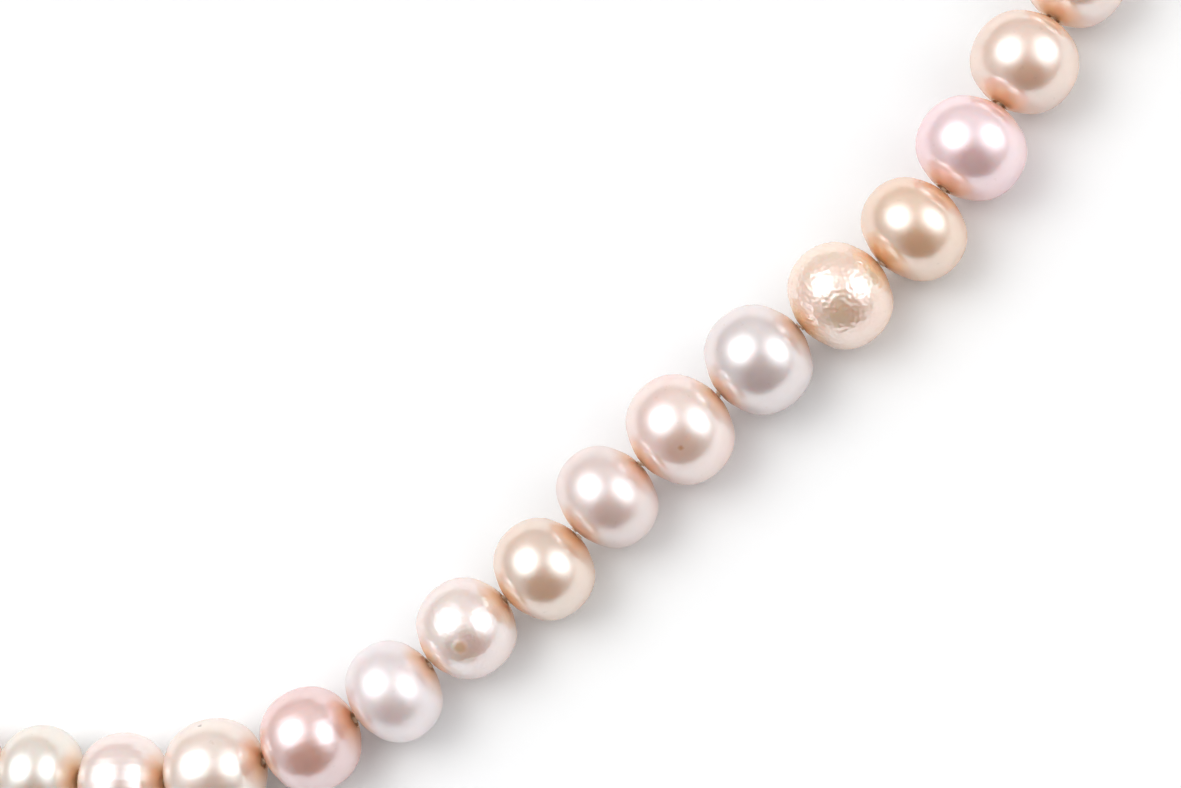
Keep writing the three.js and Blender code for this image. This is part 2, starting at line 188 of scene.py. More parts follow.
def object_coordinates(tree):
    return add_node(tree, "ShaderNodeTexCoord").outputs["Object"]


def attribute(tree, name):
    return add_node(tree, "ShaderNodeAttribute", attribute_name=name).outputs["Fac"]


def noise(tree, vector, scale, detail, roughness=0.5, distortion=0.0):
    node = add_node(tree, "ShaderNodeTexNoise")
    node.inputs["Scale"].default_value = scale
    node.inputs["Detail"].default_value = detail
    node.inputs["Roughness"].default_value = roughness
    node.inputs["Distortion"].default_value = distortion
    tree.links.new(vector, node.inputs["Vector"])
    return node.outputs["Fac"]


def ramp(tree, value, low, high, low_out=0.0, high_out=1.0):
    node = add_node(tree, "ShaderNodeMapRange")
    node.inputs["From Min"].default_value = low
    node.inputs["From Max"].default_value = high
    node.inputs["To Min"].default_value = low_out
    node.inputs["To Max"].default_value = high_out
    tree.links.new(value, node.inputs["Value"])
    return node.outputs["Result"]


def product(tree, first, second):
    node = add_node(tree, "ShaderNodeMath", operation="MULTIPLY")
    tree.links.new(first, node.inputs[0])
    tree.links.new(second, node.inputs[1])
    return node.outputs["Value"]


def dot_product(tree, vector, axis):
    node = add_node(tree, "ShaderNodeVectorMath", operation="DOT_PRODUCT")
    tree.links.new(vector, node.inputs[0])
    node.inputs[1].default_value = axis
    return node.outputs["Value"]


def mix_colour(tree, factor, first, second):
    """A blend of two colours, each a colour tuple or another node's output."""
    node = add_node(tree, "ShaderNodeMix", data_type="RGBA")
    tree.links.new(factor, node.inputs[0])
    colour_inputs = [socket for socket in node.inputs if socket.type == "RGBA"]
    for socket, value in zip(colour_inputs, (first, second)):
        if isinstance(value, tuple):
            socket.default_value = (*value, 1.0)
        else:
            tree.links.new(value, socket)
    return [socket for socket in node.outputs if socket.type == "RGBA"][0]


def bump(tree, height, strength, distance, normal=None):
    node = add_node(tree, "ShaderNodeBump")
    node.inputs["Strength"].default_value = strength
    node.inputs["Distance"].default_value = distance
    tree.links.new(height, node.inputs["Height"])
    if normal is not None:
        tree.links.new(normal, node.inputs["Normal"])
    return node.outputs["Normal"]


# ---- Materials ----
# The scale of a noise is how many of its waves go in a metre.

CLOUDS = dict(scale=260.0, detail=4.0)
CLOUD_RANGE = (0.35, 0.65)
CLOUD_SHADES = (0.94, 1.06)
FLECKS = dict(scale=1900.0, detail=2.0)
FLECK_RANGE = (0.68, 0.8)
FLECK_STRENGTH = 0.25
FLECK_COLOUR = (0.50, 0.30, 0.18)
LUSTRE_PATCHES = dict(scale=700.0, detail=3.0)
PATCH_RANGE = (0.3, 0.7)
LUSTRE_DROP = 0.02
LUSTRE_RISE = 0.04
RIPPLES = dict(scale=420.0, detail=3.0)
RIPPLE_STRENGTH = 0.15
RIPPLE_HEIGHT = 0.06 * MM
CREASES = dict(scale=2600.0, detail=3.0, roughness=0.6, distortion=0.8)
CREASE_STRENGTH = 0.7
CREASE_HEIGHT = 0.02 * MM

NACRE = {
    "IOR": 5.6,
    "Specular IOR Level": 0.5,
    "Subsurface Weight": 1.0,
    "Subsurface Radius": (1.0, 0.6, 0.4),
    "Subsurface Scale": 3.0 * MM,
    "Sheen Weight": 0.06,
    "Sheen Roughness": 0.4,
    "Sheen Tint": (1.0, 0.97, 1.0, 1.0),
    "Coat Weight": 0.4,
    "Coat Roughness": 0.18,
    "Coat IOR": 1.5,
}

BORE_LAYERS = dict(scale=2500.0, detail=2.0)
BORE_COLOURS = ((0.72, 0.42, 0.22), (0.90, 0.62, 0.42))
SILK_FIBRES = dict(scale=9000.0, detail=2.0)
SILK_COLOURS = ((0.88, 0.60, 0.40), (0.96, 0.74, 0.55))
SILVER = dict(colour=(0.93, 0.92, 0.90), roughness=0.10, scratch_scale=1400.0)
STEEL = dict(colour=(0.66, 0.67, 0.68), roughness=0.28, scratch_scale=3500.0)
SCRATCHES = dict(detail=4.0, roughness=0.6, distortion=0.3)
SCRATCH_SHADES = (0.93, 1.03)
SCRATCH_SHINE = (0.8, 1.5)
FLOOR_GRAIN = dict(scale=900.0, detail=3.0)


def shaded(colour, factor):
    return tuple(min(1.0, channel * factor) for channel in colour)


def tinted(colour, tint):
    return tuple(channel * share for channel, share in zip(colour, tint))


def nacre_colour(tree, place, look):
    """Clouds and fine flecks, painted bounce light towards the drill mouths, and the pearl's blemish on
    top.
    """
    body = look["body"]
    cloud = ramp(tree, noise(tree, place, **CLOUDS), *CLOUD_RANGE)
    dark, pale = (shaded(body, shade) for shade in CLOUD_SHADES)
    colour = mix_colour(tree, cloud, dark, pale)
    fleck = ramp(tree, noise(tree, place, **FLECKS), *FLECK_RANGE, 0.0, FLECK_STRENGTH)
    colour = mix_colour(tree, fleck, colour, FLECK_COLOUR)
    # Painted bounce light: a warmer body colour near the drill mouths, standing in for light from the
    # neighbouring pearls.
    colour = mix_colour(tree, attribute(tree, "shoulder"), colour, tinted(body, PAINTED_BOUNCE_BODY))
    colour = mix_colour(tree, attribute(tree, "mouth"), colour, MOUTH_STAIN)
    if look["spot"]:
        colour = mix_colour(tree, attribute(tree, "spot"), colour, look["spot"]["colour"])
    return colour


def nacre_relief(tree, place, crackle):
    """Faint ripples, and fine creases on a wrinkled pearl."""
    normal = bump(tree, noise(tree, place, **RIPPLES), RIPPLE_STRENGTH, RIPPLE_HEIGHT)
    if crackle:
        creases = noise(tree, place, **CREASES)
        normal = bump(tree, creases, CREASE_STRENGTH * crackle, CREASE_HEIGHT, normal)
    return normal


def nacre_material(index, look):
    material, tree, shader = new_material(f"nacre_{index + 1:02d}")
    place = object_coordinates(tree)
    lustre = look["lustre"]
    patches = noise(tree, place, **LUSTRE_PATCHES)
    rough = ramp(tree, patches, *PATCH_RANGE, lustre - LUSTRE_DROP, lustre + LUSTRE_RISE)
    # The reflections' tint, warmed near the drill mouths as painted bounce light.
    overtone_and_painted_bounce = mix_colour(tree, attribute(tree, "shoulder"), look["tint"], PAINTED_BOUNCE_TINT)
    tree.links.new(nacre_colour(tree, place, look), shader.inputs["Base Color"])
    tree.links.new(rough, shader.inputs["Roughness"])
    tree.links.new(overtone_and_painted_bounce, shader.inputs["Specular Tint"])
    tree.links.new(nacre_relief(tree, place, look["crackle"]), shader.inputs["Normal"])
    set_inputs(shader, NACRE)
    return material


def bore_material():
    """The chalky wall of a drill hole."""
    material, tree, shader = new_material("drilled_nacre")
    layers = noise(tree, object_coordinates(tree), **BORE_LAYERS)
    tree.links.new(mix_colour(tree, layers, *BORE_COLOURS), shader.inputs["Base Color"])
    tree.links.new(bump(tree, layers, strength=0.4, distance=0.03 * MM), shader.inputs["Normal"])
    set_inputs(shader, {"Roughness": 0.7})
    return material


def silk_material():
    material, tree, shader = new_material("twisted_silk")
    fibre = noise(tree, object_coordinates(tree), **SILK_FIBRES)
    tree.links.new(mix_colour(tree, fibre, *SILK_COLOURS), shader.inputs["Base Color"])
    tree.links.new(bump(tree, fibre, strength=0.5, distance=0.02 * MM), shader.inputs["Normal"])
    set_inputs(shader, {"Roughness": 0.7, "Sheen Weight": 0.4})
    return material


def metal_material(name, colour, roughness, scratch_scale):
    """Polished metal with fine scratches in its shade and its shine."""
    material, tree, shader = new_material(name)
    scratches = noise(tree, object_coordinates(tree), scratch_scale, **SCRATCHES)
    dull, bright = (shaded(colour, shade) for shade in SCRATCH_SHADES)
    smooth, rough = (roughness * shine for shine in SCRATCH_SHINE)
    tree.links.new(mix_colour(tree, scratches, dull, bright), shader.inputs["Base Color"])
    tree.links.new(ramp(tree, scratches, *PATCH_RANGE, smooth, rough), shader.inputs["Roughness"])
    tree.links.new(bump(tree, scratches, strength=0.15, distance=0.01 * MM), shader.inputs["Normal"])
    set_inputs(shader, {"Metallic": 1.0})
    return material


def floor_material():
    material, tree, shader = new_material("pale_floor")
    grain = noise(tree, object_coordinates(tree), **FLOOR_GRAIN)
    tree.links.new(bump(tree, grain, strength=0.1, distance=0.2 * MM), shader.inputs["Normal"])
    set_inputs(shader, {"Base Color": FLOOR_COLOUR, "Roughness": 0.9})
    return material


# ---- Mesh helpers ----


def circle(count):
    """Equally spaced angles round a full turn."""
    return [FULL_TURN * step / count for step in range(count)]


def smooth_step(values, low, high):
    """0 up to low, 1 from high on, and an easy curve between them."""
    share = np.clip((values - low) / (high - low), 0, 1)
    return share * share * (3 - 2 * share)


def ring_faces(rows, sides, closed):
    """Quads between consecutive rings of vertices; closed joins the last ring to the first."""
    faces = []
    for row in range(rows if closed else rows - 1):
        here = row * sides
        after = (row + 1) % rows * sides
        for side in range(sides):
            turn = (side + 1) % sides
            faces.append((here + side, here + turn, after + turn, after + side))
    return faces


def loft(sections, closed):
    """Vertices and faces through equal rings of points; an open loft gets end caps."""
    sides = len(sections[0])
    vertices = [point for section in sections for point in section]
    faces = ring_faces(len(sections), sides, closed)
    if not closed:
        faces.append(tuple(reversed(range(sides))))
        faces.append(tuple(range((len(sections) - 1) * sides, len(sections) * sides)))
    return vertices, faces


def linked_object(name, data):
    """A new object in the scene for a mesh, a light or a camera."""
    piece = bpy.data.objects.new(name, data)
    bpy.context.scene.collection.objects.link(piece)
    return piece


def mesh_object(name, vertices, faces, materials):
    mesh = bpy.data.meshes.new(name)
    mesh.from_pydata([tuple(vertex) for vertex in vertices], [], faces)
    mesh.update()
    for material in materials:
        mesh.materials.append(material)
    mesh.shade_smooth()
    return linked_object(name, mesh)


# ---- Pearls ----


def pearl_name(number):
    return f"pearl_{number:02d}"


def run_index(number):
    """Which pearl of the run this one is like."""
    return (number - MIDDLE) % len(RUN)


def node_centre(node):
    low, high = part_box(node)
    return (low + high) / 2


CENTRES = {number: node_centre(pearl_name(number)) for number in range(1, PEARL_COUNT + 1)}


def heading_of(number):
    """The drill hole runs midway between the directions to the two neighbours."""
    angles = []
    for first, second in ((number - 1, number), (number, number + 1)):
        if first in CENTRES and second in CENTRES:
            step = CENTRES[second] - CENTRES[first]
            angles.append(math.atan2(step.y, step.x))
    return sum(angles) / len(angles)


def drill_axis(number):
    heading = heading_of(number)
    return Vector((math.cos(heading), math.sin(heading), 0))


def pearl_size(number):
    """A pearl's width across the drill hole, and its length along it as if it weren't drilled."""
    node = pearl_name(number)
    low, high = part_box(node)
    width = high.z - low.z
    axis = drill_axis(number)
    reach = [vertex.co.dot(axis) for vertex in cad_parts[node].data.vertices]
    mouth = math.sqrt(1 - (2 * DRILL_RADIUS / width) ** 2)
    return width, (max(reach) - min(reach)) / mouth


def mesh_density(look):
    """The finer the marks on its skin, the finer the pearl's mesh."""
    if look["crackle"]:
        return WRINKLED_MESH
    if look["bands"] or look["spot"]:
        return MARKED_MESH
    return PLAIN_MESH


def pearl_profile(width, length, rings):
    """Rows of (distance from the drill axis, place along it): the skin from one drill mouth to
    the other, and the way back through the bore."""
    mouth = math.acos((DRILL_RADIUS + MOUTH_FILLET) / (width / 2))
    angles = np.linspace(-mouth, mouth, rings)
    from_axis = np.cos(angles)
    oval = np.abs(np.sin(angles))
    full = (1 - from_axis**PEARL_FULLNESS) ** (1 / PEARL_FULLNESS)
    along = np.sign(angles) * (oval + (full - oval) * smooth_step(from_axis, *SHOULDER_RANGE))
    skin = np.stack([width / 2 * from_axis, length / 2 * along], 1)
    edge = skin[-1, 1]
    bore_end = edge - BORE_SETBACK * MOUTH_FILLET
    knee = (DRILL_RADIUS + MOUTH_KNEE[0] * MOUTH_FILLET, edge - MOUTH_KNEE[1] * MOUTH_FILLET)
    lip = [knee, (DRILL_RADIUS, bore_end)]
    bore = [(DRILL_RADIUS, place) for place in np.linspace(bore_end, -bore_end, BORE_RINGS)[1:-1]]
    lip_back = [(radius, -place) for radius, place in reversed(lip)]
    return skin, np.array(lip + bore + lip_back)


def turned_pearl(profile, sides):
    """Points (along the drill hole, across it, up) of a profile turned about the drill axis."""
    turns = np.linspace(0, FULL_TURN, sides, endpoint=False)
    across = np.outer(profile[:, 0], np.cos(turns))
    above = np.outer(profile[:, 0], np.sin(turns))
    along = np.repeat(profile[:, 1:], sides, 1)
    return np.stack([along, across, above], -1).reshape(-1, 3)


def unevenness(directions, rng, depth, waves, frequency):
    """A smooth random field over the sphere, between 0 and depth."""
    field = np.zeros(len(directions))
    for _ in range(waves):
        axis = rng.normal(size=3)
        axis /= np.linalg.norm(axis)
        stretch = rng.uniform(*WAVE_STRETCH)
        phase = rng.uniform(0, FULL_TURN)
        field += np.sin(directions @ axis * stretch * frequency + phase)
    return depth * np.clip(0.5 + field / (FIELD_SPREAD * math.sqrt(waves)), 0, 1)


def growth_marks(unit, look, rng):
    """How far the skin lies below the full outline, as a share of the radius."""
    depth = unevenness(unit, rng, **SWELLS) + unevenness(unit, rng, **DIMPLES)
    if look["bands"]:
        drift = unevenness(unit, rng, **BAND_DRIFT)
        depth += BAND_DEPTH * look["bands"] * (0.5 + 0.5 * np.sin(unit[:, 1] * BAND_FREQUENCY + drift))
    if look["crackle"]:
        depth += look["crackle"] * unevenness(unit, rng, **WRINKLES)
    return depth


def blemish(unit, spot, radius):
    """1 in the middle of the blemish, falling to 0 at its edge."""
    towards = np.array(spot["towards"])
    towards = towards / np.linalg.norm(towards)
    distance = np.arccos(np.clip(unit @ towards, -1, 1)) * radius
    return 1 - smooth_step(distance, BLEMISH_CORE * spot["radius"] * MM, spot["radius"] * MM)


def weathered_skin(points, number, radius):
    """The skin's points with their relief, which fades out at the drill mouths, and how far
    into the pearl's blemish each of them is."""
    look = RUN[run_index(number)]
    unit = points / np.linalg.norm(points, axis=1)[:, None]
    depth = growth_marks(unit, look, np.random.default_rng(FIRST_SEED + number))
    spot = np.zeros(len(points))
    if look["spot"]:
        spot = blemish(unit, look["spot"], radius)
        depth -= spot * look["spot"]["height"] * MM / radius
    fade = np.clip((np.hypot(points[:, 1], points[:, 2]) - DRILL_RADIUS) / RELIEF_FADE, 0, 1)
    return points * (1 - depth * fade)[:, None], spot


def pearl_object(number, points, sides, skin_rings, materials):
    """The pearl's mesh, turned to its drill axis, with the first material on its skin and the
    second in its bore."""
    axis = drill_axis(number)
    placed = points @ np.array([axis, UP.cross(axis), UP]) + np.array(CENTRES[number])
    faces = ring_faces(len(points) // sides, sides, True)
    piece = mesh_object(f"{pearl_name(number)}_nacre", placed, faces, materials)
    material_of_face = np.zeros(len(faces), np.int32)
    material_of_face[(skin_rings - 1) * sides:] = 1
    piece.data.polygons.foreach_set("material_index", material_of_face)
    return piece


def point_attribute(piece, name, values):
    data = piece.data.attributes.new(name, "FLOAT", "POINT").data
    data.foreach_set("value", values.astype(np.float32))


def make_pearl(number, nacre, bore):
    look = RUN[run_index(number)]
    width, length = pearl_size(number)
    rings, sides = mesh_density(look)
    skin, inside = pearl_profile(width, length, rings)
    points = turned_pearl(np.concatenate([skin, inside]), sides)
    from_axis = np.hypot(points[:, 1], points[:, 2])
    outer = len(skin) * sides
    spot = np.zeros(len(points))
    points[:outer], spot[:outer] = weathered_skin(points[:outer], number, width / 2)
    piece = pearl_object(number, points, sides, len(skin), [nacre, bore])
    point_attribute(piece, "mouth", np.clip(1 - (from_axis - DRILL_RADIUS) / MOUTH_STAIN_WIDTH, 0, 1))
    # The mask of the painted bounce light: 1 near the drill axis, fading to 0 at the end of its range.
    point_attribute(piece, "shoulder", 1 - smooth_step(from_axis, *PAINTED_BOUNCE_RANGE))
    point_attribute(piece, "spot", spot)
    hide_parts(pearl_name(number))
    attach(piece, pearl_name(number))


# ---- Thread ----


def twisted_strand(name, start, end, material, body):
    """A twisted length of silk between two points."""
    axis = (end - start).normalized()
    side = UP.cross(axis).normalized()
    over = axis.cross(side)
    length = (end - start).length
    rows = max(THREAD_LEAST_ROWS, int(length / THREAD_STEP))
    sections = []
    for row in range(rows):
        along = length * row / (rows - 1)
        section = []
        for angle in circle(THREAD_SIDES):
            lobe = abs(math.cos(THREAD_PLIES / 2 * (angle - FULL_TURN * along / TWIST_PITCH)))
            radius = THREAD_RADIUS * (PLY_VALLEY + PLY_SWELL * lobe)
            outwards = side * math.cos(angle) + over * math.sin(angle)
            section.append(start + axis * along + outwards * radius)
        sections.append(section)
    piece = mesh_object(name, *loft(sections, False), [material])
    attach(piece, body)
    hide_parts("silk_thread")


# ---- End fittings ----
# Sizes in millimetres, as in the frame's own solids. Each end has a frame of its own at the
# end pearl: X outwards along the strand, Z up from the table.

TIP_RADIUS = 1.6
TIP_WALL = 0.3
TIP_MOUTH_RADIUS = 0.45
TIP_DROOP = math.radians(18)
TIP_SLACK = 0.45
TIP_SIDES = 128
TIP_WALL_ROWS = 30
TIP_LIP_ROWS = 7
TIP_BALL_ROWS = 44
TIP_INSIDE_END = math.radians(176)  # angles over the ball, from its mouth
TIP_COLLAR_START = math.radians(162)
TIP_LIP_SWEEP = math.radians(60)
TIP_COLLAR = [(0.40, 0.06), (0.34, 0.16), (0.30, 0.26), (0.0, 0.28)]  # radius, height from its foot
SEAM_DEPTH = 0.035  # of the ball's radius
SEAM_WIDTH = 0.07
LOOP_RADIUS = 1.15
LOOP_WIRE = 0.28
LOOP_STEPS = 96
JUMP_RING_RADIUS = 2.2
END_RING_RADIUS = 2.4
RING_WIRE = 0.3
RING_LEAN = math.radians(65)
RING_SPLIT = 0.12
RING_STEPS = 120
RING_SIDES = 24
TABLE_CLEARANCE = 0.02
KNOT_RADIUS = 0.7
KNOT_STRAND = 0.17
KNOT_DEPTH = 1.6  # of the knot's path, against 3 for its reach sideways
KNOT_STEPS = 150

CLASP_THICKNESS = 2.4
TAIL_RADIUS = 2.0
TAIL_HOLE_RADIUS = 1.25
TAIL_THICKNESS = 0.8
TAIL_SQUARENESS = 2.6
CLAW_CENTRE = Vector((6.4, 0, 0))
CLAW_OUTER = Vector((4.4, 3.0, 0))
CLAW_INNER_CENTRE = Vector((6.7, 0, 0))
CLAW_INNER = Vector((2.9, 1.85, 0))
CLAW_SQUARENESS = 3.2
EYE_SETBACK = 0.15
NECK_START = 1.5
NECK_LENGTH = 1.3
NECK_HALF_WIDTH = 0.95
NECK_TAIL_SHARE = 0.86  # of the half width, where the neck leaves the tail eye
NECK_THICKNESS_SHARE = 0.42  # of the clasp's thickness: the neck's half thickness at the claw
NECK_SQUARENESS = 2.8
NECK_STEPS = 12
SECTION_SIDES = 32
CLASP_STEPS = 160
GATE_START = 4.3
GATE_END = 8.7
GATE_SILL = 0.6
GATE_GAP = 0.15
PIVOT = Vector((3.3, 1.2, 0))
PIN_RADIUS = 0.35
PIN_CLEARANCE = 0.08
PIN_RECESS = 0.05
PIN_DOME = 0.12
PIN_DOME_ROWS = 7
SLOT_HALF = 0.62
SLOT_FLOOR = -0.4
SLOT_BACK = 2.25
SLOT_FRONT = 4.7
LEVER_HALF = 0.5
LEVER_ROOT_RADIUS = 0.85
LEVER_ARM_WIDTH = 0.85
LEVER_INSET = 0.1
LEVER_ARM_POINTS = 40
TAB_ROOT_HALF = 0.72
TAB_TIP_HALF = 0.45
TAB_ROOT_HEIGHT = 0.3
TAB_SHOULDER_HEIGHT = 1.9
TAB_CROWN_RISE = 0.2
TAB_CROWN_POINTS = 15
GROOVE_PITCH = 0.24
GROOVE_RADIUS = 0.07
SPRING_LEAF = 0.14
SPRING_HEIGHT = 0.52
SPRING_GAP = 0.1
SPRING_BACK = 0.8
SPRING_FRONT = 0.7
SPRING_UPPER_SETBACK = 0.3
SPRING_BEND_POINTS = 17
CUT_MARGIN = 1.0
RING_EDGE = 0.03  # the rounding of the sharp edges
BODY_EDGE = 0.05
LEVER_EDGE = 0.06
SHARP_ANGLE = math.radians(40)
CREASE_ANGLE = math.radians(38)  # flatter edges than this are shaded smooth
WELD_DISTANCE = 1e-4
LEAST_EDGE = 1e-5


def turned(profile, sides):
    """Vertices and faces of a profile of (radius, height) turned about Y."""
    vertices = []
    for radius, height in profile:
        for angle in circle(sides):
            vertices.append(Vector((radius * math.cos(angle), height, radius * math.sin(angle))))
    return vertices, ring_faces(len(profile), sides, False)


def rounded(angle, squareness):
    """A point on a unit superellipse: 2 is a circle, larger is squarer."""
    c, s = math.cos(angle), math.sin(angle)
    power = 2 / squareness
    return math.copysign(abs(c) ** power, c), math.copysign(abs(s) ** power, s)


def tube(path, radius, sides, closed):
    """A round wire along a path."""
    sections = []
    count = len(path)
    for index, point in enumerate(path):
        before = path[index - 1] if closed or index else point
        after = path[(index + 1) % count] if closed or index < count - 1 else point
        along = (after - before).normalized()
        side = along.cross(UP).normalized()
        over = side.cross(along)
        sections.append([point + (side * math.cos(a) + over * math.sin(a)) * radius for a in circle(sides)])
    return loft(sections, closed)


def ring_path(radius, centre, angles):
    """Points at the given angles round a circle in the XY plane, whose centre is up the Y axis."""
    return [Vector((radius * math.cos(angle), centre + radius * math.sin(angle), 0)) for angle in angles]


def slab(outline, half_thickness):
    """A flat outline given thickness along Z."""
    bottom = [Vector((x, y, -half_thickness)) for x, y in outline]
    top = [Vector((x, y, half_thickness)) for x, y in outline]
    return loft([bottom, top], False)


def block(low, high, half_thickness):
    corners = [(low[0], low[1]), (high[0], low[1]), (high[0], high[1]), (low[0], high[1])]
    return slab(corners, half_thickness)


def disc(centre, radius, half_thickness, sides=48):
    outline = [(centre.x + radius * math.cos(a), centre.y + radius * math.sin(a)) for a in circle(sides)]
    return slab(outline, half_thickness)


def solid_mesh(shape):
    """A welded mesh with its faces pointing out."""
    vertices, faces = shape
    mesh = bpy.data.meshes.new("solid")
    mesh.from_pydata([tuple(vertex) for vertex in vertices], [], faces)
    work = bmesh.new()
    work.from_mesh(mesh)
    bmesh.ops.remove_doubles(work, verts=work.verts, dist=WELD_DISTANCE)
    bmesh.ops.dissolve_degenerate(work, edges=work.edges, dist=LEAST_EDGE)
    bmesh.ops.recalc_face_normals(work, faces=work.faces)
    work.to_mesh(mesh)
    work.free()
    return mesh


def evaluated_mesh(piece):
    graph = bpy.context.evaluated_depsgraph_get()
    return bpy.data.meshes.new_from_object(piece.evaluated_get(graph))


def combined(first, operation, second):
    """The boolean of two meshes, as a new mesh."""
    base = linked_object("base", first)
    tool = linked_object("tool", second)
    cut = base.modifiers.new("cut", "BOOLEAN")
    cut.operation = operation
    cut.solver = "EXACT"
    cut.object = tool
    result = evaluated_mesh(base)
    bpy.data.objects.remove(base)
    bpy.data.objects.remove(tool)
    return result


def softened(mesh, width):
    """The same mesh with its sharp edges rounded."""
    piece = linked_object("softened", mesh)
    edge = piece.modifiers.new("edge", "BEVEL")
    edge.width = width
    edge.segments = 2
    edge.limit_method = "ANGLE"
    edge.angle_limit = SHARP_ANGLE
    result = evaluated_mesh(piece)
    bpy.data.objects.remove(piece)
    return result


def shade_by_angle(mesh):
    """Smooth shading everywhere but over the mesh's creases."""
    work = bmesh.new()
    work.from_mesh(mesh)
    for face in work.faces:
        face.smooth = True
    for edge in work.edges:
        edge.smooth = edge.is_manifold and edge.calc_face_angle(0) < CREASE_ANGLE
    work.to_mesh(mesh)
    work.free()


def fitting(name, mesh, place, material, body, node):
    """A finished metal or silk piece, moved from its own millimetres to where it lies."""
    mesh.transform(place @ Matrix.Scale(MM, 4))
    mesh.materials.clear()
    mesh.materials.append(material)
    shade_by_angle(mesh)
    mesh.name = name
    piece = linked_object(name, mesh)
    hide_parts(node)
    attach(piece, body)


def end_frame(number, direction):
    centre = CENTRES[number]
    return Matrix.Translation((centre.x, centre.y, 0)) @ Matrix.Rotation(direction, 4, "Z")


def ring_reach(radius, centre_height, height):
    """How far along the strand a leaning ring's wire is from its centre, at a given height."""
    rise = (centre_height - height) / math.sin(RING_LEAN)
    return math.sqrt(radius * radius - rise * rise)


def end_places(number, ring_radius):
    """Where the drill mouth, the bead tip and the ring are in an end's frame."""
    width, length = pearl_size(number)
    along = Vector((math.cos(TIP_DROOP), 0, -math.sin(TIP_DROOP)))
    mouth = Vector((length / MM / 2, 0, width / MM / 2))
    tip = mouth + along * (TIP_SLACK + TIP_RADIUS)
    loop = tip + along * (TIP_RADIUS + LOOP_RADIUS)
    height = ring_radius * math.sin(RING_LEAN) + RING_WIRE + TABLE_CLEARANCE
    reach = ring_reach(ring_radius, height, loop.z)
    ring = Vector((loop.x + reach, (height - loop.z) / math.tan(RING_LEAN), height))
    return mouth, tip, ring


def bead_tip_profile():
    """Rows of (radius, height): up the hollow's wall, round the rolled mouth, over the ball and
    up its collar to the axis. The mouth is at the bottom."""
    inside = TIP_RADIUS - TIP_WALL
    lip = TIP_WALL / 2
    inner_mouth = math.asin((TIP_MOUTH_RADIUS + lip) / inside)
    outer_mouth = math.asin((TIP_MOUTH_RADIUS + lip) / TIP_RADIUS)
    profile = [(0.0, inside)]
    for angle in np.linspace(TIP_INSIDE_END, inner_mouth, TIP_WALL_ROWS):
        profile.append((inside * math.sin(angle), -inside * math.cos(angle)))
    lip_height = (profile[-1][1] - TIP_RADIUS * math.cos(outer_mouth)) / 2
    for angle in np.linspace(TIP_LIP_SWEEP, -TIP_LIP_SWEEP, TIP_LIP_ROWS):
        profile.append((TIP_MOUTH_RADIUS + lip - lip * math.cos(angle), lip_height + lip * math.sin(angle)))
    for angle in np.linspace(outer_mouth, TIP_COLLAR_START, TIP_BALL_ROWS):
        profile.append((TIP_RADIUS * math.sin(angle), -TIP_RADIUS * math.cos(angle)))
    collar_foot = profile[-1][1]
    return profile + [(radius, collar_foot + height) for radius, height in TIP_COLLAR]


def bead_tip_mesh():
    """A hollow ball of two cups with a seam between them, a rolled mouth and a wire loop."""
    vertices, faces = turned(bead_tip_profile(), TIP_SIDES)
    for vertex in vertices:
        if vertex.length > TIP_RADIUS - TIP_WALL / 2:
            vertex *= 1 - SEAM_DEPTH * math.exp(-((vertex.z / SEAM_WIDTH) ** 2))
    ball = solid_mesh((vertices, faces))
    path = ring_path(LOOP_RADIUS, TIP_RADIUS + LOOP_RADIUS, circle(LOOP_STEPS))
    return combined(ball, "UNION", solid_mesh(tube(path, LOOP_WIRE, sides=20, closed=True)))


def closed_ring_mesh(radius):
    """A wire ring in the XY plane."""
    path = ring_path(radius, 0, circle(RING_STEPS))
    return solid_mesh(tube(path, RING_WIRE, RING_SIDES, closed=True))


def split_ring_mesh(radius):
    """A wire ring in the XY plane, sawn through at +Y."""
    gap = RING_SPLIT / 2 / radius
    angles = np.linspace(math.pi / 2 + gap, math.pi * 2.5 - gap, RING_STEPS)
    path = ring_path(radius, 0, angles)
    return softened(solid_mesh(tube(path, RING_WIRE, RING_SIDES, closed=False)), RING_EDGE)


def flat_ring(outer_centre, outer, inner_centre, inner, half_thickness, squareness):
    """A ring between two ellipses with a softly squared section."""
    sections = []
    for angle in circle(CLASP_STEPS):
        c, s = math.cos(angle), math.sin(angle)
        rim = outer_centre + Vector((outer.x * c, outer.y * s, 0))
        hole = inner_centre + Vector((inner.x * c, inner.y * s, 0))
        middle, half = (rim + hole) / 2, (rim - hole) / 2
        outline = [rounded(turn, squareness) for turn in circle(SECTION_SIDES)]
        sections.append([middle + half * across + UP * half_thickness * above for across, above in outline])
    return solid_mesh(loft(sections, True))


def neck_mesh():
    """The bar from the tail eye to the claw, widening as it goes."""
    outline = [rounded(turn, NECK_SQUARENESS) for turn in circle(SECTION_SIDES)]
    tail_half = TAIL_THICKNESS / 2
    claw_half = CLASP_THICKNESS * NECK_THICKNESS_SHARE
    sections = []
    for step in range(NECK_STEPS + 1):
        share = step / NECK_STEPS
        swell = smooth_step(share, 0, 1)
        half_width = NECK_HALF_WIDTH * (NECK_TAIL_SHARE + (1 - NECK_TAIL_SHARE) * swell)
        half_thickness = tail_half + (claw_half - tail_half) * swell
        x = NECK_START + NECK_LENGTH * share
        section = [(half_width * across, half_thickness * above) for across, above in outline]
        sections.append([Vector((x, y, z)) for y, z in section])
    return solid_mesh(loft(sections, False))


